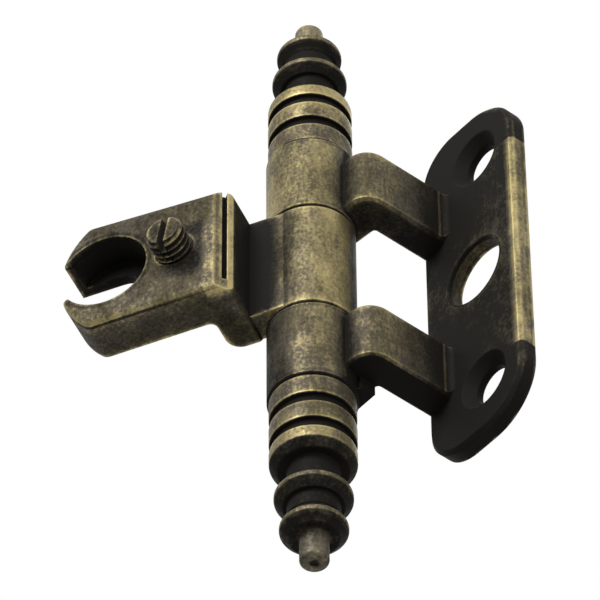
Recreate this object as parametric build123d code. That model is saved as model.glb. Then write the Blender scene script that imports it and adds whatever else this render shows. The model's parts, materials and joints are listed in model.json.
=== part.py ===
"""Furniture hinge with turned finials: a three-hole wing, a forked leaf, a through pin and a grub screw.

Lengths are in millimetres. The wing and the fork are drawn round the pin axis with the hinge shut: X runs
along both leaves, Y runs from the pin axis towards the wing's plate and Z runs along the pin. The fork is
then swung open, and everything is moved so that the origin lies on the plate's mounting face, midway
between its two screw holes.
"""
import math
import os
from build123d import *

os.makedirs("parts", exist_ok=True)

# Pin and barrel
pin_diameter = 2.9
pin_tip_length = 3.2
pin_tip_chamfer = 0.35
running_clearance = 0.05
seat_clearance = 0.01
knuckle_diameter = 9.0
middle_knuckle_length = 13.9
outer_knuckle_length = 10.0
knuckle_gap = 0.1
knuckle_edge_chamfer = 0.2

# Finials
finial_diameter = 8.6
finial_gap = 0.02
band_length = 2.45
ring_length = 1.9
end_ring_length = 1.4
ring_groove_width = 1.3
ring_groove_depth = 0.5
shoulder_slope = 0.8
neck_diameter = 5.2
first_neck_length = 2.6
first_bead_diameter = 7.7
second_neck_length = 1.9
second_bead_diameter = 6.7
bead_length = 2.2
bead_chamfer = 0.85

# Wing plate
plate_width = 13.8
plate_height = 45.0
plate_thickness = 1.85
plate_inner_edge = 4.2
plate_face_offset = 11.2
plate_outer_corner_radius = 6.0
plate_inner_corner_radius = 5.0
plate_rim_chamfer = 0.4
screw_hole_diameter = 4.3
countersink_diameter = 6.5
countersink_angle = 90.0
screw_hole_spacing = 32.0
screw_hole_offset = 12.4
clearance_hole_diameter = 7.7
clearance_hole_offset = 11.65

# Wing arms
arm_thickness = 3.55
arm_height = 7.2
arm_mid_height = 11.2
arm_near_face = 0.5
arm_inner_corner = 4.8
arm_outer_radius = 2.4
arm_inner_radius = 0.4
arm_root_fillet = 0.65
arm_edge_chamfer = 0.3
arm_barrel_inset = 0.1
web_extra_height = 1.3
web_thickness = 1.9

# Fork
fork_face = 9.75
fork_thickness = 4.55
fork_reach = 23.0
fork_face_rise = 0.55
fork_end_height = 14.2
fork_end_arc_radius = 9.5
fork_end_corner_radius = 1.2
fork_rim_radius = 0.8
riser_near_face = 4.75
riser_thickness = 3.4
riser_inner_fillet = 0.8
neck_near_face = 1.0
neck_thickness = 3.35
neck_height = 13.4
neck_outer_radius = 1.6
mouth_width = 5.4
mouth_centre = 18.1
mouth_recess_diameter = 9.2
mouth_recess_depth = 3.4
corner_slope_height = 1.3
corner_slope_length = 1.6
corner_groove_width = 0.52
corner_groove_depth = 0.6
corner_groove_stop = 1.4
corner_groove_shift = 0.1
corner_edge_radius = 0.5

# Adjusting screw
screw_diameter = 4.0
screw_length = 8.0
screw_stand_out = 3.0
screw_offset = 10.5
screw_end_chamfer = 0.4
screw_slot_width = 0.7
screw_slot_depth = 1.1
screw_slot_lean = 10.0

# Pose in the photograph
opening_angle = 153.0

# Places worked out from the sizes above
pin_radius = pin_diameter / 2
middle_end = middle_knuckle_length / 2
outer_start = middle_end + knuckle_gap
outer_end = outer_start + outer_knuckle_length
finial_start = outer_end + finial_gap
plate_back = plate_face_offset + plate_thickness
finial_length = (
    band_length + ring_length + end_ring_length + 2 * ring_groove_width + shoulder_slope
    + first_neck_length + second_neck_length + 2 * bead_length
)
fork_back = fork_face - fork_thickness
riser_far_face = riser_near_face + riser_thickness
pin_place = Location((-screw_hole_offset, -plate_back, 0))
fork_place = pin_place * Rot(0, 0, -opening_angle)


def rod(radius, low, high):
    """Plain cylinder on the pin axis between two heights."""
    return Pos(0, 0, (low + high) / 2) * Cylinder(radius, high - low)


def bead(radius, low, high):
    """Disc on the pin axis with both rims chamfered."""
    disc = rod(radius, low, high)
    return chamfer(disc.edges().filter_by(GeomType.CIRCLE), bead_chamfer)


def knuckle(low, high, bore_radius):
    """One barrel length with small chamfers at both ends, bored for the pin."""
    barrel = rod(knuckle_diameter / 2, low, high)
    barrel = chamfer(barrel.edges().filter_by(GeomType.CIRCLE), knuckle_edge_chamfer)
    return barrel - rod(bore_radius, low, high)


def finial():
    """Upper finial: a band and two rings, a sloping shoulder, then two beads on a neck."""
    ring_radius = finial_diameter / 2
    second_ring = band_length + ring_groove_width
    end_ring = second_ring + ring_length + ring_groove_width
    shoulder = end_ring + end_ring_length
    first_bead = shoulder + shoulder_slope + first_neck_length
    second_bead = first_bead + bead_length + second_neck_length
    turned = rod(neck_diameter / 2, 0, finial_length)
    turned += rod(ring_radius - ring_groove_depth, 0, end_ring + end_ring_length / 2)
    turned += rod(ring_radius, 0, band_length)
    turned += rod(ring_radius, second_ring, second_ring + ring_length)
    turned += rod(ring_radius, end_ring, shoulder)
    turned += Pos(0, 0, shoulder + shoulder_slope / 2) * Cone(ring_radius, ring_radius - shoulder_slope, shoulder_slope)
    turned += bead(first_bead_diameter / 2, first_bead, first_bead + bead_length)
    turned += bead(second_bead_diameter / 2, second_bead, second_bead + bead_length)
    turned -= rod(pin_radius + seat_clearance, 0, finial_length)
    return Pos(0, 0, finial_start) * turned


def pin():
    """Through pin whose chamfered ends stand out past both finials."""
    end = finial_start + finial_length + pin_tip_length
    shaft = rod(pin_radius, -end, end)
    return chamfer(shaft.edges().filter_by(GeomType.CIRCLE), pin_tip_chamfer)


def wing_plate():
    """Plate with rounded corners, two countersunk holes and the plain hole between them."""
    outline = Pos(plate_inner_edge + plate_width / 2, 0) * Rectangle(plate_width, plate_height)
    inner = outline.vertices().group_by(Axis.X)[0]
    outline = fillet(inner, plate_inner_corner_radius)
    outer = outline.vertices().group_by(Axis.X)[-1]
    outer = [v for v in outer if abs(abs(v.Y) - plate_height / 2) < 0.001]
    outline = fillet(outer, plate_outer_corner_radius)
    plate = Plane.XZ.offset(-plate_back) * extrude(outline, plate_thickness)
    front_rim = plate.faces().sort_by(Axis.Y)[0].outer_wire().edges()
    plate = chamfer(front_rim, plate_rim_chamfer)
    for side in (-1, 1):
        place = Pos(screw_hole_offset, plate_face_offset, side * screw_hole_spacing / 2) * Rot(90, 0, 0)
        plate -= place * CounterSinkHole(
            screw_hole_diameter / 2, countersink_diameter / 2, 2 * plate_thickness, countersink_angle
        )
    middle = Pos(clearance_hole_offset, plate_back, 0) * Rot(90, 0, 0)
    return plate - middle * Cylinder(clearance_hole_diameter / 2, 4 * plate_thickness)


def arm():
    """Upper arm: leaves the knuckle nearly at a tangent, turns a corner and runs into the plate."""
    buried = plate_thickness / 2
    corners = [
        (0, arm_near_face),
        (plate_inner_edge + arm_thickness, arm_near_face),
        (plate_inner_edge + arm_thickness, plate_face_offset + buried),
        (plate_inner_edge, plate_face_offset + buried),
        (plate_inner_edge, arm_inner_corner),
        (0, knuckle_diameter / 2 - arm_barrel_inset),
    ]
    plan = Polygon(*corners, align=None)
    plan = fillet(plan.vertices().sort_by_distance(corners[1])[0], arm_outer_radius)
    plan = fillet(plan.vertices().sort_by_distance(corners[4])[0], arm_inner_radius)
    bent = extrude(plan, arm_height)
    rims = bent.faces().sort_by(Axis.Z)
    bent = chamfer(rims[0].edges() + rims[-1].edges(), arm_edge_chamfer)
    return Pos(0, 0, arm_mid_height - arm_height / 2) * bent


def web():
    """Thicker stretch between the upper knuckle's far side and its arm, standing past the arm's end face."""
    high = arm_mid_height + arm_height / 2 + web_extra_height
    far = arm_inner_corner
    block = Box(plate_inner_edge, web_thickness, high - arm_mid_height, align=(Align.MIN, Align.MAX, Align.MIN))
    block = Pos(0, far - arm_inner_radius, arm_mid_height) * block
    return block


def wing():
    """Upper and lower knuckle, the two arms and the plate as one casting."""
    upper = knuckle(outer_start, outer_end, pin_radius + seat_clearance)
    upper_arm = arm() + web()
    half = upper + upper_arm - rod(pin_radius + seat_clearance, outer_start, outer_end)
    casting = wing_plate() + half + mirror(half, Plane.XY)
    roots = [
        e for e in casting.edges().filter_by(Axis.Z)
        if abs(e.center().X - plate_inner_edge - arm_thickness) < 0.001
        and abs(e.center().Y - plate_face_offset) < 0.001
    ]
    return fillet(roots, arm_root_fillet)


def fork():
    """Middle knuckle, offset neck, riser and thick plate with the stepped C mouth, as one casting."""
    reach = fork_reach
    half_height = fork_end_height / 2
    corners = [
        (0, neck_near_face),
        (riser_far_face, neck_near_face),
        (riser_far_face, fork_back),
        (reach, fork_back),
        (reach, fork_face + fork_face_rise),
        (riser_near_face + corner_slope_length, fork_face),
        (riser_near_face, fork_face - corner_slope_height),
        (riser_near_face, neck_near_face + neck_thickness),
        (0, neck_near_face + neck_thickness),
    ]
    plan = Polygon(*corners, align=None)
    plan = fillet(plan.vertices().sort_by_distance(corners[1])[0], neck_outer_radius)
    plan = fillet(plan.vertices().sort_by_distance(corners[2])[0], riser_inner_fillet)
    solid = extrude(plan, half_height, both=True)
    neck_end = neck_height / 2
    face = [
        (0, neck_end), (riser_near_face, neck_end), (riser_near_face, middle_end),
        (riser_far_face, middle_end), (reach, half_height), (reach, -half_height),
        (riser_far_face, -middle_end), (riser_near_face, -middle_end),
        (riser_near_face, -neck_end), (0, -neck_end),
    ]
    arc_centre = reach - fork_end_arc_radius
    rounded_end = Pos(arc_centre, 0) * Circle(fork_end_arc_radius)
    rounded_end += Pos(arc_centre / 2, 0) * Rectangle(arc_centre, 2 * fork_end_arc_radius)
    outline = Polygon(*face, align=None) & rounded_end
    ends = [v for v in outline.vertices() if v.X > arc_centre]
    outline = fillet(ends, fork_end_corner_radius)
    solid = solid & Plane.XZ * extrude(outline, 2 * fork_face, both=True)
    rim = [
        e for e in solid.faces().sort_by(Axis.Y)[-1].edges()
        if e.center().X > riser_near_face + corner_slope_length + 0.001
    ]
    solid = fillet(rim, fork_rim_radius)
    corner = [
        e for e in solid.edges().filter_by(Axis.Y)
        if abs(e.center().X - riser_near_face) < 0.001 and abs(abs(e.center().Z) - middle_end) < 0.001
    ]
    solid = fillet(corner, corner_edge_radius)
    turn = Rot(90, 0, 0)
    recess = Pos(mouth_centre, fork_face, 0) * turn * Cylinder(mouth_recess_diameter / 2, 2 * mouth_recess_depth)
    slot_length = reach - mouth_centre + mouth_width
    slot = Pos(mouth_centre, fork_face, 0) * turn * Cylinder(mouth_width / 2, 4 * fork_thickness)
    slot += Pos(mouth_centre + slot_length / 2, fork_face, 0) * Box(slot_length, 4 * fork_thickness, mouth_width)
    solid = solid - recess - slot
    solid += knuckle(-middle_end, middle_end, pin_radius + running_clearance)
    solid -= rod(pin_radius + running_clearance, -middle_end, middle_end)
    hole = Pos(screw_offset, fork_face, 0) * turn * Cylinder(screw_diameter / 2 + running_clearance, 4 * fork_thickness)
    return solid - hole - corner_groove()


def corner_groove():
    """Square groove down the sloping corner of the fork, closed at its lower end."""
    slope = math.degrees(math.atan2(corner_slope_height, corner_slope_length))
    low = -middle_end + corner_groove_stop
    high = fork_end_height
    place = Pos(
        riser_near_face + corner_slope_length / 2 - corner_groove_shift,
        fork_face - corner_slope_height / 2 - corner_groove_shift * corner_slope_height / corner_slope_length,
        (low + high) / 2,
    )
    return place * Rot(0, 0, slope) * Box(corner_groove_width, 2 * corner_groove_depth, high - low)


def grub_screw():
    """Slotted grub screw through the fork; the foot of its slot leans towards the mouth."""
    screw = Cylinder(screw_diameter / 2, screw_length)
    screw = chamfer(screw.edges().filter_by(GeomType.CIRCLE), screw_end_chamfer)
    screw -= Pos(0, 0, screw_length / 2) * Box(2 * screw_diameter, screw_slot_width, 2 * screw_slot_depth)
    middle = fork_face + screw_stand_out - screw_length / 2
    return Pos(screw_offset, middle, 0) * Rot(-90, 0, 0) * Rot(0, 0, 90 - screw_slot_lean) * screw


top = finial()
pieces = {
    "frame_wing": pin_place * wing(),
    "door_fork": fork_place * fork(),
    "hinge_pin": pin_place * pin(),
    "upper_finial": pin_place * top,
    "lower_finial": pin_place * mirror(top, Plane.XY),
    "adjusting_screw": fork_place * grub_screw(),
}
for name, piece in pieces.items():
    export_step(piece, f"parts/{name}.step")
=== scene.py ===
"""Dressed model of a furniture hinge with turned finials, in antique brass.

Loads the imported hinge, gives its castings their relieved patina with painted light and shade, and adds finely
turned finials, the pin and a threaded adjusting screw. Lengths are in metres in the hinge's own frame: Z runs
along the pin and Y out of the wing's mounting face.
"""
import json
import math

import bmesh
import bpy
import numpy as np
from bpy.props import FloatProperty, FloatVectorProperty, IntProperty, PointerProperty
from mathutils import Matrix, Vector


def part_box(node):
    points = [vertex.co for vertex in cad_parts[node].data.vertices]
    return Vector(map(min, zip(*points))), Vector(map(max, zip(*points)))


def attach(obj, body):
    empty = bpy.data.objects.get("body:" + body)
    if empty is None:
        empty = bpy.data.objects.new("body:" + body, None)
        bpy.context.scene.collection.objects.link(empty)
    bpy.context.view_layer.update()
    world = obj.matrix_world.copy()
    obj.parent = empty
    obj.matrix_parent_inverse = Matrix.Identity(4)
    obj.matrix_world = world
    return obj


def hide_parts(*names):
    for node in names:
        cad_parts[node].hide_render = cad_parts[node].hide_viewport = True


bl_info = {
    "name": "Finial hinge",
    "version": (1, 0, 0),
    "blender": (4, 5, 0),
    "location": "View3D > Sidebar > Finial hinge",
    "description": "Dresses a furniture hinge with turned finials in antique brass",
    "category": "Object",
}

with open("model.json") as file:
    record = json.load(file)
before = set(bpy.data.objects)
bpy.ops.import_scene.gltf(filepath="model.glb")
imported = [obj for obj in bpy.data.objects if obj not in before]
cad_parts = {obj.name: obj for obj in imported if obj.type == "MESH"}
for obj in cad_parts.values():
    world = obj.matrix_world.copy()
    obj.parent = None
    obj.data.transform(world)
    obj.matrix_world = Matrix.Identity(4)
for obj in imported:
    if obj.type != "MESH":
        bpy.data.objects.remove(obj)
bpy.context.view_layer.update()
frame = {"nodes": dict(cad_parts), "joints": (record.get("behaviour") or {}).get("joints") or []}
MM = 0.001
UP = Vector((0, 0, 1))
MIDDLE = Vector()

# The photographer's right, in the hinge's frame. Masks set along it imitate the light of the photograph.
PHOTO_RIGHT = Vector((0.64, 0.77, 0))

# Rounding that the castings' sharp edges show, share of light that mirrors off dark patina, and the grain.
SOFT_EDGE = 0.22 * MM
MIRROR_LEVEL = 0.06
GRAIN_STRENGTH = 0.6
GRAIN_HEIGHT = 0.05 * MM

# Steps of the screw's mesh: half of the open rim, the slot's end, the length, and across the end.
RIM_STEPS = 44
SLOT_STEPS = 14
THREAD_STEPS = 170
CAP_STEPS = 24
THREAD_ROUNDING = 0.85
END_CONE = 0.35 * MM

# The camera fitted to the photograph: its angles, its place from the hinge's middle in millimetres, its lens.
PHOTO_TURN = math.radians(50.14)
PHOTO_TILT = math.radians(-46.693)
PHOTO_ROLL = math.radians(-0.46)
CAMERA_BACK = 540.57
CAMERA_LEFT = 1.16
CAMERA_DOWN = 1.48
CAMERA_LENS = 326.6
SENSOR_WIDTH = 36.0

FLOOR_REACH = 4.0
FLOOR_GLOW = 0.6


def length(label, description, default):
    """Length property in metres from a size given in millimetres."""
    return FloatProperty(
        name=label, description=description, default=default * MM, min=0.0,
        subtype="DISTANCE", unit="LENGTH", precision=5,
    )


def colour(label, description, default):
    """Linear colour property."""
    return FloatVectorProperty(
        name=label, description=description, default=default, size=3, min=0.0, max=1.0, subtype="COLOR"
    )


def light_power(label, description, default):
    """Power of a light in watts."""
    return FloatProperty(name=label, description=description, default=default, min=0.0, unit="POWER")


class FinialSizes(bpy.types.PropertyGroup):
    """Sizes of the turned finials, counted from the knuckle outwards."""
    ring: length("Ring diameter", "Across the band and the rings", 8.6)
    groove: length("Groove depth", "Depth of the grooves between the rings", 0.5)
    groove_width: length("Groove width", "Width of the grooves between the rings", 1.1)
    band: length("Band length", "Band next to the knuckle", 2.45)
    second: length("Ring length", "Ring between the two grooves", 2.25)
    last: length("End ring length", "Straight part of the ring before the shoulder", 1.45)
    shoulder: length("Shoulder", "Slope of the shoulder down to the neck", 0.8)
    neck: length("Neck diameter", "Across the neck between the beads", 5.2)
    neck_one: length("First neck length", "Bare neck between the shoulder and the first bead", 2.6)
    neck_two: length("Second neck length", "Bare neck between the beads", 1.9)
    bead_one: length("First bead", "Across the bead nearer the barrel", 7.7)
    bead_two: length("Second bead", "Across the bead nearer the tip", 6.7)
    bead_length: length("Bead length", "Length of each bead", 2.2)
    bead_cut: length("Bead slope", "Size of the sloping rims on both sides of a bead's crest", 0.85)
    sides: IntProperty(name="Sides", description="Steps round the turned pieces", default=144, min=24, max=256)


class ScrewSizes(bpy.types.PropertyGroup):
    """Sizes of the threaded adjusting screw."""
    diameter: length("Diameter", "Across the crests of the thread", 4.0)
    pitch: length("Pitch", "Distance from crest to crest", 0.7)
    depth: length("Thread depth", "From crest to root", 0.4)
    slot_width: length("Slot width", "Width of the driver slot", 0.7)
    slot_depth: length("Slot depth", "Depth of the driver slot", 1.1)
    slot_turn: FloatProperty(
        name="Slot turn", description="Lean of the slot from upright",
        default=math.radians(10.0), subtype="ANGLE", unit="ROTATION",
    )


class FinishColours(bpy.types.PropertyGroup):
    """Colours of the antique finish."""
    # Painted light and shade mix toward these same tones: painted highlights toward the rubbed brass, painted
    # shade toward the dark patina.
    dark: colour("Dark patina", "Nearly black patina left in recesses", (0.012, 0.011, 0.009))
    middle: colour("Middle patina", "Greyed brown between dark and bright", (0.112, 0.094, 0.053))
    cool: colour("Cool patina", "Purple grey that drifts through the brown", (0.10, 0.085, 0.062))
    bright: colour("Rubbed brass", "Edges and high spots rubbed bright", (0.48, 0.395, 0.175))
    steel: colour("Bronzed steel", "Pin", (0.165, 0.145, 0.105))


class StageSettings(bpy.types.PropertyGroup):
    """Light and floor."""
    key: light_power("Key light", "Power of the large soft light from the upper left", 1.35)
    fill: light_power("Fill light", "Power of the soft light from the right", 0.62)
    rim: light_power("Back light", "Power of the soft light from behind", 0.4)
    ambient: FloatProperty(
        name="Ambient", description="Strength of the surroundings on rough surfaces",
        default=0.16, min=0.0, max=2.0,
    )
    floor: colour("Floor", "Plain pale floor", (0.82, 0.82, 0.81))
    floor_drop: length("Floor drop", "Distance from the hinge's middle down to the floor", 620.0)


def joint(name):
    """Place and direction of one of the hinge's joints."""
    found = next(j for j in frame["joints"] if j["name"] == name)
    return Vector(found["pos_m"]), Vector(found["axis"]).normalized()


def pin_middle():
    """Middle of the pin, which is the axis of the barrel."""
    low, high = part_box("hinge_pin")
    return (low + high) / 2


def rounded_loop(points, radii, steps):
    """Closed outline with each corner rounded.

    A corner becomes an arc that touches both its sides: its centre lies on the line that halves the corner,
    radius / sin(half the corner) from it, and the arc is the turn from one touching point to the other.
    """
    corner = np.asarray(points, float)
    radius = np.maximum(np.asarray(radii, float), 1e-7)[:, None]
    before = np.roll(corner, 1, axis=0) - corner
    after = np.roll(corner, -1, axis=0) - corner
    before /= np.linalg.norm(before, axis=1, keepdims=True)
    after /= np.linalg.norm(after, axis=1, keepdims=True)
    half = np.arccos(np.clip((before * after).sum(1, keepdims=True), -1, 1)) / 2
    middle = before + after
    middle /= np.linalg.norm(middle, axis=1, keepdims=True)
    centre = corner + middle * radius / np.sin(half)
    start = corner + before * radius / np.tan(half) - centre
    end = corner + after * radius / np.tan(half) - centre
    sweep = (math.pi - 2 * half)[:, None, :]
    share = np.linspace(0, 1, steps)[None, :, None]
    arc = (np.sin((1 - share) * sweep) * start[:, None] + np.sin(share * sweep) * end[:, None]) / np.sin(sweep)
    return (centre[:, None] + arc).reshape(-1, 2)


def grid_mesh(name, points, wrap_u=False, wrap_v=False):
    """Mesh from a grid of points, joined along both directions, closed where asked, with faces outwards."""
    rows, cols = points.shape[:2]
    index = np.arange(rows * cols).reshape(rows, cols)
    if wrap_u:
        index = np.concatenate([index, index[:1]])
    if wrap_v:
        index = np.concatenate([index, index[:, :1]], axis=1)
    faces = np.stack([index[:-1, :-1], index[1:, :-1], index[1:, 1:], index[:-1, 1:]], axis=-1).reshape(-1, 4)
    mesh = bpy.data.meshes.new(name)
    mesh.from_pydata(points.reshape(-1, 3), [], faces)
    return mesh


def finish_mesh(mesh, merge=1e-7):
    """Merge doubled points, drop flat faces, turn the faces outwards and shade smooth."""
    work = bmesh.new()
    work.from_mesh(mesh)
    bmesh.ops.remove_doubles(work, verts=work.verts, dist=merge)
    bmesh.ops.dissolve_degenerate(work, edges=work.edges, dist=merge)
    bmesh.ops.recalc_face_normals(work, faces=work.faces)
    work.to_mesh(mesh)
    work.free()
    mesh.shade_smooth()
    return mesh


def add_piece(name, mesh, material, body, node):
    """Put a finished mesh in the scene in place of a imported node."""
    piece = bpy.data.objects.new(name, mesh)
    bpy.context.scene.collection.objects.link(piece)
    mesh.materials.clear()
    mesh.materials.append(material)
    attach(piece, body)
    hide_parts(node)


def dress(node, material):
    """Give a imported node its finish."""
    slots = frame["nodes"][node].data.materials
    slots.clear()
    slots.append(material)


def turned(name, profile, centre, sides):
    """Solid of revolution about the pin: each profile point (r, z) goes round to (r cos t, r sin t, z)."""
    turn = np.linspace(0, 2 * math.pi, sides, endpoint=False)[None, :]
    r, z = profile[:, :1], profile[:, 1:]
    points = np.stack([centre.x + r * np.cos(turn), centre.y + r * np.sin(turn), z + 0 * turn], axis=-1)
    return grid_mesh(name, points, wrap_u=True, wrap_v=True)


def bead_outline(neck, rim, low, high, cut):
    """Corners and roundings of one bead: a short flat, a sloping rim and a belly, mirrored about its middle."""
    corners = [
        (neck, low), (rim - cut, low), (rim, low + cut),
        (rim, high - cut), (rim - cut, high), (neck, high),
    ]
    foot, slope, crest = 0.08 * MM, 0.15 * MM, 0.4 * MM
    return corners, [foot, slope, crest, crest, slope, foot]


def finial_outline(size, bore):
    """Half section of a finial from the knuckle to its last bead, with every edge softly broken."""
    ring, floor, neck = size.ring / 2, size.ring / 2 - size.groove, size.neck / 2
    z1 = size.band
    z2 = z1 + size.groove_width
    z3 = z2 + size.second
    z4 = z3 + size.groove_width
    z5 = z4 + size.last
    z6 = z5 + size.shoulder
    sharp, soft, inner, broad = 0.02 * MM, 0.16 * MM, 0.1 * MM, 0.4 * MM
    corners = [
        (bore, 0), (ring, 0), (ring, z1), (floor, z1), (floor, z2), (ring, z2), (ring, z3),
        (floor, z3), (floor, z4), (ring, z4), (ring, z5), (ring - size.shoulder, z6), (neck, z6),
    ]
    radii = [sharp, soft, soft, inner, inner, soft, soft, inner, inner, soft, broad, broad, inner]
    low = z6
    for rim, bare in ((size.bead_one / 2, size.neck_one), (size.bead_two / 2, size.neck_two)):
        low += bare
        more, rounds = bead_outline(neck, rim, low, low + size.bead_length, size.bead_cut)
        corners += more
        radii += rounds
        low += size.bead_length
    corners[-1] = (bore, low)
    radii[-1] = sharp
    return rounded_loop(corners, radii, 7)


def screw_mesh(name, size, middle, sideways, along, out, reach):
    """Threaded screw with a driver slot, as two grids that share the rim of its end.

    Round the screw the radius is the crest less depth times a rounded saw tooth of (height / pitch - turn),
    so the ridge climbs one pitch a turn; it may not pass a 45 degree cone at either end. The end is a fan of
    parallel lines from rim to rim, level except between the slot's walls, where they lie at the slot's depth.
    """
    crest, half = size.diameter / 2, size.slot_width / 2

    def radius(turn, depth):
        tooth = np.abs(2 * np.mod(-depth / size.pitch - turn / (2 * math.pi), 1) - 1)
        ridge = crest - size.depth * (0.5 - 0.5 * np.cos(math.pi * tooth)) ** THREAD_ROUNDING
        return np.minimum(ridge, crest - END_CONE + np.minimum(depth, reach - depth))

    wall_high = math.acos(half / (crest - END_CONE))
    wall_low = math.acos(half / crest)
    open_side = np.linspace(0, wall_high, RIM_STEPS)
    floor = np.linspace(wall_low, math.pi - wall_low, SLOT_STEPS)
    turn = np.concatenate([open_side, floor, math.pi - open_side[::-1]])
    top = np.where((turn >= wall_low) & (turn <= math.pi - wall_low), size.slot_depth, 0.0)
    turn = np.concatenate([turn, -turn[-2:0:-1]])
    top = np.concatenate([top, top[-2:0:-1]])[:, None]
    share = np.linspace(0, 1, THREAD_STEPS)[None, :]
    depth = top + (reach - top) * share
    depth = np.concatenate([depth, np.full((len(turn), 1), reach)], axis=1)
    r = radius(turn[:, None], depth)
    r[:, -1] = 0.0
    local = np.stack([r * np.cos(turn)[:, None], r * np.sin(turn)[:, None], -depth], axis=-1)
    half_count = len(turn) // 2 + 1
    near = local[:half_count, 0]
    far = local[np.mod(-np.arange(half_count), len(turn)), 0]
    blend = np.linspace(0, 1, CAP_STEPS)[None, :, None]
    cap = near[:, None] * (1 - blend) + far[:, None] * blend
    basis = np.array([sideways, along, out])
    grids = [np.array(middle) + part @ basis for part in (local, cap)]
    side = grid_mesh(name, grids[0], wrap_u=True)
    end = grid_mesh("screw_end", grids[1])
    work = bmesh.new()
    work.from_mesh(side)
    work.from_mesh(end)
    work.to_mesh(side)
    work.free()
    bpy.data.meshes.remove(end)
    return finish_mesh(side, 1e-6)


def new_group(name, inputs, outputs):
    """Empty shader node group with the named inputs and outputs; an input is (name, kind, default)."""
    group = bpy.data.node_groups.new(name, "ShaderNodeTree")
    for label, kind, default in inputs:
        socket = group.interface.new_socket(label, in_out="INPUT", socket_type=kind)
        socket.default_value = default
    for label, kind in outputs:
        group.interface.new_socket(label, in_out="OUTPUT", socket_type=kind)
    return group, group.nodes.new("NodeGroupInput"), group.nodes.new("NodeGroupOutput")


def link(tree, source, target):
    """Join two sockets, or set the target to a plain value."""
    if isinstance(source, bpy.types.NodeSocket):
        tree.links.new(source, target)
    else:
        target.default_value = source


def math_node(tree, operation, first, second=0.0, clamp=False):
    """Math node on two values or sockets."""
    node = tree.nodes.new("ShaderNodeMath")
    node.operation = operation
    node.use_clamp = clamp
    link(tree, first, node.inputs[0])
    link(tree, second, node.inputs[1])
    return node.outputs[0]


def spread(tree, value, low, high, to_low, to_high):
    """Map a range of values onto another and stop at its ends."""
    node = tree.nodes.new("ShaderNodeMapRange")
    node.clamp = True
    for socket, number in zip(node.inputs, (value, low, high, to_low, to_high)):
        link(tree, number, socket)
    return node.outputs[0]


def mix_colour(tree, factor, first, second):
    """Mix two colours by a factor."""
    node = tree.nodes.new("ShaderNodeMix")
    node.data_type = "RGBA"
    link(tree, factor, node.inputs[0])
    link(tree, first, node.inputs[6])
    link(tree, second, node.inputs[7])
    return node.outputs[2]


def noise(tree, scale, stretch=(1.0, 1.0, 1.0), detail=3.0, rough=0.55):
    """Noise on object coordinates, stretched along the axes."""
    place = tree.nodes.new("ShaderNodeTexCoord")
    mapping = tree.nodes.new("ShaderNodeMapping")
    mapping.inputs["Scale"].default_value = stretch
    tree.links.new(place.outputs["Object"], mapping.inputs["Vector"])
    node = tree.nodes.new("ShaderNodeTexNoise")
    link(tree, scale, node.inputs["Scale"])
    node.inputs["Detail"].default_value = detail
    node.inputs["Roughness"].default_value = rough
    tree.links.new(mapping.outputs["Vector"], node.inputs["Vector"])
    return node.outputs["Fac"]


def openness(tree, distance, inside):
    """How far light reaches a point within a short distance, outside the metal or inside it."""
    node = tree.nodes.new("ShaderNodeAmbientOcclusion")
    node.samples = 8
    node.inside = inside
    node.only_local = True
    link(tree, distance, node.inputs["Distance"])
    return node.outputs["AO"]


def relief_group():
    """Masks of rubbed edges, broad high spots and recesses, each from how open the metal is nearby."""
    group, given, out = new_group(
        "Relief",
        [
            ("Edge width", "NodeSocketFloat", 0.45 * MM),
            ("Broad width", "NodeSocketFloat", 1.3 * MM),
            ("Recess width", "NodeSocketFloat", 8.0 * MM),
        ],
        [("Edge", "NodeSocketFloat"), ("Broad", "NodeSocketFloat"), ("Recess", "NodeSocketFloat")],
    )
    edge = openness(group, given.outputs["Edge width"], True)
    broad = openness(group, given.outputs["Broad width"], True)
    recess = openness(group, given.outputs["Recess width"], False)
    group.links.new(spread(group, edge, 0.95, 0.55, 0.0, 1.0), out.inputs["Edge"])
    group.links.new(spread(group, broad, 0.97, 0.5, 0.0, 1.0), out.inputs["Broad"])
    group.links.new(spread(group, recess, 0.97, 0.5, 0.0, 1.0), out.inputs["Recess"])
    return group


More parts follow.
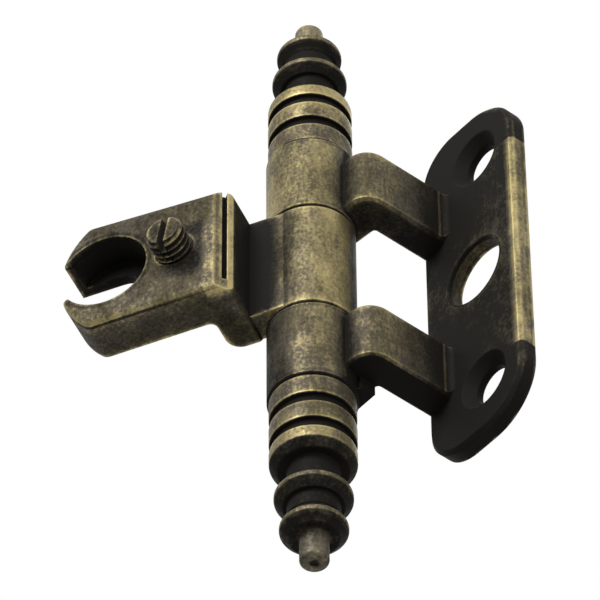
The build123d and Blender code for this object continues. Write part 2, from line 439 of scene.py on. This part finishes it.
def patina_group(relief):
    """Antique brass: dark patina that is rubbed away on edges and in lengthwise streaks and blotches."""
    group, given, out = new_group(
        "Antique patina",
        [
            ("Dark", "NodeSocketColor", (0.02, 0.02, 0.02, 1)),
            ("Middle", "NodeSocketColor", (0.1, 0.1, 0.1, 1)),
            ("Cool", "NodeSocketColor", (0.1, 0.1, 0.1, 1)),
            ("Bright", "NodeSocketColor", (0.4, 0.3, 0.2, 1)),
            ("Rub", "NodeSocketFloat", 0.4),
            # This input carries rubbed wear together with the masks' painted light and shade.
            ("Wear and painted light", "NodeSocketFloat", 0.0),
            ("Edge rub", "NodeSocketFloat", 0.6),
            ("Broad rub", "NodeSocketFloat", 0.4),
            ("Recess dark", "NodeSocketFloat", 0.8),
            ("Mottle", "NodeSocketFloat", 1.0),
        ],
        [
            ("Color", "NodeSocketColor"), ("Roughness", "NodeSocketFloat"),
            ("Metallic", "NodeSocketFloat"), ("Height", "NodeSocketFloat"),
        ],
    )
    masks = group.nodes.new("ShaderNodeGroup")
    masks.node_tree = relief
    drift = noise(group, 260.0, (1, 1, 0.5), 1.0, 0.5)
    blotch = noise(group, 650.0, (1, 1, 0.7), 3.0, 0.55)
    speckle = noise(group, 3000.0, (1, 1, 0.9), 3.0, 0.6)
    streak = noise(group, 3200.0, (1, 1, 0.2), 2.0, 0.5)
    total = math_node(group, "ADD", given.outputs["Rub"], given.outputs["Wear and painted light"])
    for pattern, weight in ((drift, 0.5), (blotch, 0.55), (speckle, 0.75), (streak, 0.25)):
        swing = math_node(group, "MULTIPLY", math_node(group, "SUBTRACT", pattern, 0.5), weight)
        total = math_node(group, "ADD", total, math_node(group, "MULTIPLY", swing, given.outputs["Mottle"]))
    patchy = spread(group, blotch, 0.35, 0.6, 0.6, 1.0)
    for mask, amount in (("Edge", "Edge rub"), ("Broad", "Broad rub")):
        brightening = math_node(group, "MULTIPLY", masks.outputs[mask], given.outputs[amount])
        total = math_node(group, "ADD", total, math_node(group, "MULTIPLY", brightening, patchy))
    hidden = math_node(group, "MULTIPLY", masks.outputs["Recess"], given.outputs["Recess dark"])
    total = math_node(group, "SUBTRACT", total, hidden, True)
    cooler = spread(group, drift, 0.42, 0.58, 0.0, 1.0)
    middle = mix_colour(group, cooler, given.outputs["Middle"], given.outputs["Cool"])
    low = mix_colour(group, spread(group, total, 0.0, 0.5, 0.0, 1.0), given.outputs["Dark"], middle)
    high = mix_colour(group, spread(group, total, 0.5, 1.1, 0.0, 1.0), low, given.outputs["Bright"])
    group.links.new(high, out.inputs["Color"])
    group.links.new(spread(group, total, 0.0, 1.0, 0.62, 0.42), out.inputs["Roughness"])
    group.links.new(spread(group, total, 0.15, 0.85, 0.0, 0.9), out.inputs["Metallic"])
    group.links.new(speckle, out.inputs["Height"])
    return group


def object_point(tree):
    """Object coordinates as a socket."""
    return tree.nodes.new("ShaderNodeTexCoord").outputs["Object"]


def vector_node(tree, operation, first, second=(0.0, 0.0, 0.0)):
    """Vector math node on two vectors or sockets; a dot product or a length gives its number."""
    node = tree.nodes.new("ShaderNodeVectorMath")
    node.operation = operation
    link(tree, first, node.inputs[0])
    link(tree, second, node.inputs[1])
    return node.outputs["Value" if operation in ("DOT_PRODUCT", "LENGTH") else "Vector"]


def near_line(tree, point, direction, radius, softness):
    """1 within a radius of a line through a point, falling to 0 over the softness."""
    offset = vector_node(tree, "SUBTRACT", object_point(tree), point)
    distance = vector_node(tree, "LENGTH", vector_node(tree, "CROSS_PRODUCT", offset, direction))
    return spread(tree, distance, radius, radius + softness, 1.0, 0.0)


def across(tree, direction, low, high):
    """1 where the surface runs along a direction, falling to 0 where it faces that way or the other."""
    normal = tree.nodes.new("ShaderNodeTexCoord").outputs["Normal"]
    facing = math_node(tree, "ABSOLUTE", vector_node(tree, "DOT_PRODUCT", normal, direction))
    return spread(tree, facing, low, high, 1.0, 0.0)


def above_plane(tree, point, normal, low, high):
    """0 up to the low height over a plane through a point, rising to 1 at the high one."""
    height = vector_node(tree, "DOT_PRODUCT", object_point(tree), normal)
    base = point.dot(normal)
    return spread(tree, height, base + low, base + high, 0.0, 1.0)


def along_pin(tree):
    """Distance from the hinge's middle along the pin, the same both ways."""
    parts = tree.nodes.new("ShaderNodeSeparateXYZ")
    tree.links.new(object_point(tree), parts.inputs[0])
    return math_node(tree, "ABSOLUTE", parts.outputs["Z"])


def seam(tree, place, half, softness):
    """1 on both planes square to the pin at a distance from the hinge's middle, as thin bands."""
    away = math_node(tree, "ABSOLUTE", math_node(tree, "SUBTRACT", along_pin(tree), place))
    return spread(tree, away, half, half + softness, 1.0, 0.0)


def both(tree, *masks):
    """Product of masks: 1 where all of them hold."""
    product = masks[0]
    for mask in masks[1:]:
        product = math_node(tree, "MULTIPLY", product, mask)
    return product


def outside(tree, mask):
    """The rest of the surface: 1 where a mask is 0."""
    return math_node(tree, "SUBTRACT", 1.0, mask)


def weighted(tree, *masks):
    """Sum of masks, each times its weight."""
    total = 0.0
    for mask, weight in masks:
        total = math_node(tree, "ADD", math_node(tree, "MULTIPLY", mask, weight), total)
    return total


def patina_material(name, colours, values, soften):
    """Metal with the antique patina; its sharp edges catch light as if softly broken."""
    material = bpy.data.materials.new(name)
    material.use_nodes = True
    tree = material.node_tree
    shader = next(n for n in tree.nodes if n.type == "BSDF_PRINCIPLED")
    finish = tree.nodes.new("ShaderNodeGroup")
    finish.node_tree = patina()
    for label, tone in colours.items():
        finish.inputs[label].default_value = (*tone, 1.0)
    for label, number in values.items():
        finish.inputs[label].default_value = number
    tree.links.new(finish.outputs["Color"], shader.inputs["Base Color"])
    tree.links.new(finish.outputs["Roughness"], shader.inputs["Roughness"])
    tree.links.new(finish.outputs["Metallic"], shader.inputs["Metallic"])
    shader.inputs["Specular IOR Level"].default_value = MIRROR_LEVEL
    bump = tree.nodes.new("ShaderNodeBump")
    bump.inputs["Strength"].default_value = GRAIN_STRENGTH
    bump.inputs["Distance"].default_value = GRAIN_HEIGHT
    tree.links.new(finish.outputs["Height"], bump.inputs["Height"])
    if soften:
        bevel = tree.nodes.new("ShaderNodeBevel")
        bevel.samples = 6
        bevel.inputs["Radius"].default_value = soften
        tree.links.new(bevel.outputs["Normal"], bump.inputs["Normal"])
    tree.links.new(bump.outputs["Normal"], shader.inputs["Normal"])
    return material, tree, finish.inputs["Wear and painted light"]


def patina():
    """The shared patina group, built once."""
    found = bpy.data.node_groups.get("Antique patina")
    return found or patina_group(relief_group())


def brass_colours(finish):
    """The tones of the antique brass."""
    return {"Dark": finish.dark, "Middle": finish.middle, "Cool": finish.cool, "Bright": finish.bright}


def wing_masks(tree, axis, plate_side):
    """Rows of (mask, weight) for the wing: above 0 is brighter, below 0 darker, as rubbed brass and dark patina
    and, where marked, as painted light and shade.
    """
    out, side = Vector((0, 1, 0)), Vector((1, 0, 0))
    plate_face = Vector((0, -1.85 * MM, 0))
    screw_hole = Vector((0, 0, 16 * MM))
    middle_hole = Vector((-0.75 * MM, 0, 0))
    corner_radius, corner_height = 6.0 * MM, 16.5
    level_faces = across(tree, UP, 0.5, 0.9)
    barrel = near_line(tree, axis, UP, 4.6 * MM, 0.6 * MM)
    left_half = above_plane(tree, axis, -PHOTO_RIGHT, 0.0, 3.5 * MM)
    middle_wall = near_line(tree, middle_hole, out, 3.9 * MM, 0.05 * MM)
    middle_rim = near_line(tree, middle_hole, out, 4.0 * MM, 0.15 * MM)

    # Arms brighter away from the plate and dimmer again at the far corner: partly rubbed brass, partly a painted
    # highlight on the bend.
    arms = above_plane(tree, plate_face, -out, -5.0 * MM, 8.5 * MM)
    corner = spread(tree, above_plane(tree, plate_face, -out, 7.5 * MM, 10.5 * MM), 0.0, 1.0, 1.0, 0.7)
    off_plate = above_plane(tree, plate_face, -out, 0.05 * MM, 0.3 * MM)
    arms = both(tree, arms, corner, off_plate, level_faces)
    # A painted highlight along the arms' foot, where they meet the plate.
    foot = both(
        tree,
        above_plane(tree, plate_face, -out, 0.55 * MM, 0.65 * MM),
        outside(tree, above_plane(tree, plate_face, -out, 0.9 * MM, 1.0 * MM)),
    )

    side_front = above_plane(tree, plate_face, -out, -1.75 * MM, -1.2 * MM)
    top = both(
        tree,
        above_plane(tree, MIDDLE, UP, 17.5 * MM, 20.5 * MM),
        outside(tree, above_plane(tree, plate_face, -out, 0.1 * MM, 0.3 * MM)),
    )
    beyond = spread(tree, along_pin(tree), 14.7 * MM, 14.9 * MM, 0.0, 1.0)
    # The plate's edge strip and its rounded corners: rubbed brass and a painted highlight.
    strip = both(
        tree,
        above_plane(tree, Vector((plate_side, 0, 0)), side, -1.3 * MM, -0.7 * MM),
        spread(tree, along_pin(tree), 14.5 * MM, 16.5 * MM, 1.0, 0.0),
    )
    for end in (UP, -UP):
        bend = Vector((plate_side - corner_radius, 0, 0)) + end * corner_height * MM
        quarter = both(
            tree,
            above_plane(tree, bend, side, -MM, 0.0),
            above_plane(tree, bend, end, -2.0 * MM, -1.5 * MM),
        )
        round_edge = both(tree, quarter, outside(tree, near_line(tree, bend, out, 4.7 * MM, 0.6 * MM)))
        fade = spread(tree, along_pin(tree), 17.0 * MM, 19.5 * MM, 1.0, 0.45)
        strip = math_node(tree, "MAXIMUM", strip, both(tree, round_edge, fade))

    # Imitates the photograph's shade: the left of the lower knuckle, and a bright line right of the middle.
    shaded = both(
        tree, barrel,
        above_plane(tree, axis, -PHOTO_RIGHT, 1.5 * MM, 4.4 * MM),
        above_plane(tree, MIDDLE, -UP, 0.0, MM),
    )
    bright_line = both(
        tree, barrel,
        above_plane(tree, axis, PHOTO_RIGHT, -0.5 * MM, 1.0 * MM),
        outside(tree, above_plane(tree, axis, PHOTO_RIGHT, 2.0 * MM, 3.0 * MM)),
    )
    return [
        # barrel and arms rubbed brighter, with a painted highlight on the arms' bend; painted shade makes the
        # lower knuckle a little darker
        (math_node(tree, "MAXIMUM", barrel, arms), 0.55),
        (both(tree, barrel, above_plane(tree, MIDDLE, -UP, 6.9 * MM, 7.1 * MM)), -0.08),
        # faces that look along the pin, and a painted highlight along the arms' foot
        (outside(tree, level_faces), 0.1),
        (both(tree, foot, level_faces), 0.8),
        # seams of the knuckles, then their darker ends
        (both(tree, barrel, seam(tree, 7.0 * MM, 0.1 * MM, 0.12 * MM)), -0.7),
        (both(tree, barrel, seam(tree, 17.06 * MM, 0.1 * MM, 0.12 * MM)), -0.7),
        (both(tree, barrel, outside(tree, seam(tree, 12.06 * MM, 4.2 * MM, 0.7 * MM))), -0.45),
        # shade of the photograph on the barrel
        (shaded, -0.5),
        (both(tree, barrel, left_half, above_plane(tree, MIDDLE, UP, 0.0, MM)), 0.08),
        (bright_line, 0.12),
        # painted shade on the arms' webs
        (both(tree, beyond, outside(tree, barrel), above_plane(tree, plate_face, -out, 2.0 * MM, 3.0 * MM)), -0.9),
        # Fault: painted shade meant for the barrel's corner, but it also turns both ends of the plate nearly
        # black.
        (both(tree, beyond, above_plane(tree, axis, PHOTO_RIGHT, 3.2 * MM, 3.6 * MM)), -0.7),
        # the plate's edge strip, rubbed bright and with a painted highlight, then its top and its foot
        (both(tree, strip, across(tree, side, 0.8, 0.95)), 0.05),
        (both(tree, strip, side_front), 0.4),
        (strip, 0.12),
        (top, 0.25),
        (both(tree, above_plane(tree, MIDDLE, -UP, 13.0 * MM, 15.0 * MM), outside(tree, strip)), -0.12),
        # the middle hole's rim and wall, then the two screw holes
        (both(tree, middle_rim, above_plane(tree, plate_face, -out, -0.5 * MM, -0.3 * MM)), -0.9),
        (both(tree, middle_wall, above_plane(tree, plate_face, out, 0.3 * MM, 0.5 * MM)), 0.4),
        (both(tree, middle_wall, above_plane(tree, plate_face, out, 1.3 * MM, 1.6 * MM)), -0.4),
        (near_line(tree, screw_hole, out, 3.1 * MM, 0.4 * MM), -0.6),
        (near_line(tree, -screw_hole, out, 3.1 * MM, 0.4 * MM), -0.6),
    ]


def fork_masks(tree, axis):
    """Rows of (mask, weight) for the fork, placed from its adjusting screw."""
    place, out = joint("screw_turn")
    away = place - axis
    away.z = 0.0
    away = (away - out * away.dot(out)).normalized()
    barrel = near_line(tree, axis, UP, 4.6 * MM, 0.6 * MM)
    face = above_plane(tree, place, out, -2.2 * MM, -0.4 * MM)
    lower = above_plane(tree, MIDDLE, -UP, -7.0 * MM, 4.0 * MM)
    worn_face = both(tree, face, spread(tree, lower, 0.0, 1.0, 0.2, 0.65))
    level = above_plane(tree, place, out, -0.5 * MM, -0.4 * MM)
    roll = above_plane(tree, place, out, -0.2 * MM, -0.1 * MM)
    line = both(tree, math_node(tree, "SUBTRACT", level, roll), across(tree, out, 0.3, 0.6))
    mouth = near_line(tree, place + away * 7.6 * MM, out, 4.9 * MM, 0.4 * MM)
    deep_wall = above_plane(tree, place, -out, 1.5 * MM, 3.0 * MM)
    prongs = near_line(tree, place + away * 9.6 * MM, out, 5.5 * MM, 1.5 * MM)
    # Painted shadow of the screw on the fork's face, below it and toward the pin.
    screw_shadow = near_line(tree, place - away * 1.6 * MM - UP * 0.6 * MM, out, 2.5 * MM, 1.6 * MM)
    to_pin = above_plane(tree, place, -away, 2.6 * MM, 3.4 * MM)
    before_groove = above_plane(tree, place, -away, 4.7 * MM, 4.8 * MM)
    after_groove = above_plane(tree, place, -away, 5.25 * MM, 5.35 * MM)
    slope = above_plane(tree, place, out, -1.5 * MM, -1.4 * MM)
    return [
        # barrel and worn face, then the barrel's seams
        (math_node(tree, "MAXIMUM", barrel, math_node(tree, "MULTIPLY", worn_face, 0.72)), 0.4),
        (both(tree, barrel, seam(tree, 7.0 * MM, 0.12 * MM, 0.12 * MM)), -0.7),
        # Imitates the photograph's shade on the barrel's right; it turns with the fork.
        (both(tree, barrel, above_plane(tree, axis, PHOTO_RIGHT, 3.6 * MM, 4.1 * MM)), -0.55),
        # a painted highlight just right of the barrel's middle
        (both(tree, barrel, above_plane(tree, axis, PHOTO_RIGHT, 0.0, 1.5 * MM)), 0.14),
        # painted shadow of the screw, below it and toward the pin
        (both(tree, screw_shadow, outside(tree, to_pin)), -0.4),
        # the mouth, its rim and its deep wall, which gets painted light, then the upper prong
        (mouth, -0.25),
        (both(tree, mouth, roll), -0.08),
        (both(tree, mouth, deep_wall, across(tree, UP, 0.8, 0.97)), 0.4),
        (both(tree, prongs, above_plane(tree, MIDDLE, UP, -MM, MM)), -0.04),
        # faces that look along the pin, the rounded rim, and the slope on both sides of its groove, with a painted
        # highlight on the ridge after the groove
        (outside(tree, across(tree, UP, 0.5, 0.9)), 0.12),
        (both(tree, roll, across(tree, out, 0.75, 0.97), outside(tree, mouth)), 0.2),
        (both(tree, slope, to_pin, outside(tree, before_groove)), 0.12),
        (both(tree, slope, after_groove), 0.4),
        (line, -0.42),
    ]


class HINGE_OT_castings(bpy.types.Operator):
    """Give the wing and the fork their relieved antique patina, with painted light and shade"""
    bl_idname = "hinge.castings"
    bl_label = "Castings"

    def execute(self, context):
        colours = brass_colours(context.scene.hinge_finish)
        axis = pin_middle()
        values = {"Rub": 0.04, "Edge rub": 0.95, "Broad rub": 0.25, "Recess dark": 0.8}
        material, tree, wear_and_light = patina_material("antique_wing", colours, values, SOFT_EDGE)
        link(tree, weighted(tree, *wing_masks(tree, axis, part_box("frame_wing")[1].x)), wear_and_light)
        dress("frame_wing", material)

        values = {"Rub": 0.2, "Edge rub": 0.5, "Broad rub": 0.2, "Recess dark": 1.1}
        material, tree, wear_and_light = patina_material("antique_fork", colours, values, SOFT_EDGE)
        link(tree, weighted(tree, *fork_masks(tree, axis)), wear_and_light)
        dress("door_fork", material)
        return {"FINISHED"}


class HINGE_OT_finials(bpy.types.Operator):
    """Turn the two finials"""
    bl_idname = "hinge.finials"
    bl_label = "Finials"

    def execute(self, context):
        size, finish = context.scene.hinge_finials, context.scene.hinge_finish
        values = {"Rub": 0.1, "Edge rub": 0.5, "Broad rub": 0.1, "Recess dark": 0.6}
        material, tree, wear_and_light = patina_material("antique_finials", brass_colours(finish), values, 0.0)
        pin_low, pin_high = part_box("hinge_pin")
        centre = pin_middle()
        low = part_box("upper_finial")[0]
        end_ring = low.z + size.band + size.groove_width * 2 + size.second
        away = along_pin(tree)
        rings = spread(tree, away, end_ring + size.last - 0.1 * MM, end_ring + size.last, 1.0, 0.0)
        floors = both(tree, rings, near_line(tree, centre, UP, size.ring / 2 - 0.35 * MM, 0.1 * MM))
        necks = near_line(tree, centre, UP, 3.0 * MM, 0.1 * MM)
        # Brightening of the turned pieces: wear that grows toward the end ring, and painted light on the upper
        # finial's rings.
        brightening = weighted(
            tree,
            (spread(tree, away, end_ring - 3.5 * MM, end_ring, 0.0, 1.0), 0.24),
            # painted light: the upper finial's rings lighter
            (both(tree, rings, above_plane(tree, MIDDLE, UP, 17.0 * MM, 22.5 * MM)), 0.14),
            (outside(tree, rings), -0.2),
            (1.0, 0.33),
        )
        masks = [
            # the sides of rings and beads brighter than their sloping faces, partly rubbed brass and partly
            # painted light
            (both(tree, across(tree, UP, 0.3, 0.65), outside(tree, necks), brightening), 1.0),
            (necks, -0.15),
            (floors, -0.6),
            (seam(tree, 17.06 * MM, 0.1 * MM, 0.12 * MM), -0.7),
        ]
        link(tree, weighted(tree, *masks), wear_and_light)
        outline = finial_outline(size, (pin_high.x - pin_low.x) / 2 + 0.01 * MM)
        for name, node, side in (
            ("finial_upper_turned", "upper_finial", 1),
            ("finial_lower_turned", "lower_finial", -1),
        ):
            profile = outline * np.array([1, side]) + np.array([0, side * low.z])
            mesh = finish_mesh(turned(name, profile, centre, size.sides))
            add_piece(name, mesh, material, "wing", node)
        return {"FINISHED"}


class HINGE_OT_pin(bpy.types.Operator):
    """Turn the through pin with its softened ends"""
    bl_idname = "hinge.pin"
    bl_label = "Pin"

    def execute(self, context):
        finish = context.scene.hinge_finish
        low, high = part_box("hinge_pin")
        centre, r = pin_middle(), (high.x - low.x) / 2
        corners = [(1e-6, low.z), (r, low.z), (r, high.z), (1e-6, high.z)]
        outline = rounded_loop(corners, [1e-8, 0.4 * MM, 0.4 * MM, 1e-8], 8)
        colours = {"Dark": finish.dark, "Middle": finish.steel, "Cool": finish.steel, "Bright": finish.bright}
        values = {"Rub": 0.22, "Edge rub": 0.3, "Broad rub": 0.1, "Recess dark": 0.3}
        material, tree, wear_and_light = patina_material("bronzed_pin", colours, values, 0.0)
        end = outside(tree, across(tree, UP, 0.7, 0.95))
        spot = near_line(tree, centre, UP, 0.3 * MM, 0.25 * MM)
        # painted light: the pin's upper half lighter
        upper_half = above_plane(tree, MIDDLE, UP, 0.0, high.z)
        link(tree, weighted(tree, (end, 0.1), (spot, -0.4), (upper_half, 0.4)), wear_and_light)
        mesh = finish_mesh(turned("pin_turned", outline, centre, 72))
        add_piece("pin_turned", mesh, material, "wing", "hinge_pin")
        return {"FINISHED"}


class HINGE_OT_screw(bpy.types.Operator):
    """Cut the adjusting screw with its thread and slot"""
    bl_idname = "hinge.screw"
    bl_label = "Adjusting screw"

    def execute(self, context):
        size, finish = context.scene.hinge_screw, context.scene.hinge_finish
        place, out = joint("screw_turn")
        points = frame["nodes"]["adjusting_screw"].data.vertices
        heights = [(v.co - place).dot(out) for v in points]
        middle = place + out * max(heights)
        side = out.cross(UP)
        along = UP * math.cos(size.slot_turn) - side * math.sin(size.slot_turn)
        sideways = along.cross(out)
        reach = max(heights) - min(heights)
        mesh = screw_mesh("screw_threaded", size, middle, sideways, along, out, reach)
        values = {"Rub": 0.22, "Edge rub": 0.5, "Broad rub": 0.0, "Recess dark": 0.8}
        material = patina_material("brass_screw", brass_colours(finish), values, 0.0)[0]
        add_piece("screw_threaded", mesh, material, "screw", "adjusting_screw")
        return {"FINISHED"}


def photo_direction(right, away, up):
    """Direction given as the photographer sees it, to the right, away and up, turned into the hinge's frame."""
    c, s = math.cos(PHOTO_TURN), math.sin(PHOTO_TURN)
    return Vector((c * right - s * away, s * right + c * away, up))


def soft_light(name, middle, direction, distance, width, power):
    """Square area light that faces the hinge from a direction."""
    data = bpy.data.lights.new(name, "AREA")
    data.shape = "SQUARE"
    data.size = width
    data.energy = power
    lamp = bpy.data.objects.new(name, data)
    bpy.context.scene.collection.objects.link(lamp)
    direction = direction.normalized()
    lamp.location = middle + direction * distance
    lamp.rotation_euler = direction.to_track_quat("Z", "Y").to_euler()


def seen_mask(tree):
    """1 for rays that show the background: from the camera, by reflection or through glass."""
    path = tree.nodes.new("ShaderNodeLightPath")
    direct = math_node(tree, "MAXIMUM", path.outputs["Is Camera Ray"], path.outputs["Is Glossy Ray"])
    return math_node(tree, "MAXIMUM", direct, path.outputs["Is Transmission Ray"])


def photo_camera(middle):
    """Camera at the photograph's viewing angle, about half a metre off and 47 degrees below the hinge."""
    back = photo_direction(0, -math.cos(PHOTO_TILT), math.sin(PHOTO_TILT))
    up = photo_direction(0, math.sin(PHOTO_TILT), math.cos(PHOTO_TILT))
    right = photo_direction(1, 0, 0)
    spot = middle + back * CAMERA_BACK * MM - right * CAMERA_LEFT * MM - up * CAMERA_DOWN * MM
    turned_right = right * math.cos(PHOTO_ROLL) + up * math.sin(PHOTO_ROLL)
    turned_up = up * math.cos(PHOTO_ROLL) - right * math.sin(PHOTO_ROLL)
    data = bpy.data.cameras.new("photo_camera")
    data.sensor_width = SENSOR_WIDTH
    data.lens = CAMERA_LENS
    data.clip_start = 0.01
    data.clip_end = 20.0
    camera = bpy.data.objects.new("photo_camera", data)
    bpy.context.scene.collection.objects.link(camera)
    axes = Matrix((turned_right, turned_up, back)).transposed()
    camera.matrix_world = Matrix.Translation(spot) @ axes.to_4x4()
    bpy.context.scene.camera = camera


class HINGE_OT_stage(bpy.types.Operator):
    """Set up the floor, the soft lights, the surroundings and the camera"""
    bl_idname = "hinge.stage"
    bl_label = "Stage"

    def execute(self, context):
        scene, stage = context.scene, context.scene.hinge_stage
        middle = pin_middle()
        mesh = bpy.data.meshes.new("floor")
        turns = ((-1, -1), (1, -1), (1, 1), (-1, 1))
        corners = [(x * FLOOR_REACH, y * FLOOR_REACH, -stage.floor_drop) for x, y in turns]
        mesh.from_pydata(corners, [], [(0, 1, 2, 3)])
        floor = bpy.data.objects.new("floor", mesh)
        scene.collection.objects.link(floor)
        paint = bpy.data.materials.new("pale_floor")
        paint.use_nodes = True
        tree = paint.node_tree
        shader = next(n for n in tree.nodes if n.type == "BSDF_PRINCIPLED")
        shader.inputs["Base Color"].default_value = (*stage.floor, 1.0)
        shader.inputs["Roughness"].default_value = 0.9
        shader.inputs["Emission Color"].default_value = (1.0, 1.0, 1.0, 1.0)
        glow = math_node(tree, "MULTIPLY", seen_mask(tree), FLOOR_GLOW)
        tree.links.new(glow, shader.inputs["Emission Strength"])
        mesh.materials.append(paint)
        world = bpy.data.worlds.new("studio")
        world.use_nodes = True
        scene.world = world
        tree = world.node_tree
        background = next(n for n in tree.nodes if n.type == "BACKGROUND")
        background.inputs["Color"].default_value = (1.0, 1.0, 1.0, 1.0)
        seen = seen_mask(tree)
        unseen = math_node(tree, "MULTIPLY", outside(tree, seen), stage.ambient)
        tree.links.new(math_node(tree, "ADD", seen, unseen), background.inputs["Strength"])
        for name, direction, distance, width, watts in (
            ("key", (-0.45, -0.85, 0.45), 0.4, 0.22, stage.key),
            ("fill", (0.55, -0.75, -0.3), 0.5, 0.3, stage.fill),
            ("back", (0.2, 0.7, 0.75), 0.5, 0.3, stage.rim),
        ):
            soft_light(name, middle, photo_direction(*direction), distance, width, watts)
        photo_camera(middle)
        scene.view_settings.view_transform = "Standard"
        return {"FINISHED"}


class HINGE_PT_panel(bpy.types.Panel):
    """Buttons that build the hinge"""
    bl_label = "Finial hinge"
    bl_idname = "HINGE_PT_panel"
    bl_space_type = "VIEW_3D"
    bl_region_type = "UI"
    bl_category = "Finial hinge"

    def draw(self, context):
        for group in ("hinge_finials", "hinge_screw", "hinge_finish", "hinge_stage"):
            settings = getattr(context.scene, group)
            for label in settings.__annotations__:
                self.layout.prop(settings, label)
        for operator in OPERATORS:
            self.layout.operator(operator.bl_idname)


GROUPS = {
    "hinge_finials": FinialSizes,
    "hinge_screw": ScrewSizes,
    "hinge_finish": FinishColours,
    "hinge_stage": StageSettings,
}
OPERATORS = (HINGE_OT_castings, HINGE_OT_finials, HINGE_OT_pin, HINGE_OT_screw, HINGE_OT_stage)


def register():
    """Register the settings, the operators and the panel."""
    for name, group in GROUPS.items():
        bpy.utils.register_class(group)
        setattr(bpy.types.Scene, name, PointerProperty(type=group))
    for operator in OPERATORS:
        bpy.utils.register_class(operator)
    bpy.utils.register_class(HINGE_PT_panel)


def unregister():
    """Take the panel, the operators and the settings away again."""
    bpy.utils.unregister_class(HINGE_PT_panel)
    for operator in reversed(OPERATORS):
        bpy.utils.unregister_class(operator)
    for name, group in GROUPS.items():
        delattr(bpy.types.Scene, name)
        bpy.utils.unregister_class(group)


def main():
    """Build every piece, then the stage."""
    register()
    bpy.ops.hinge.castings()
    bpy.ops.hinge.finials()
    bpy.ops.hinge.pin()
    bpy.ops.hinge.screw()
    bpy.ops.hinge.stage()


if __name__ == "__main__":
    main()
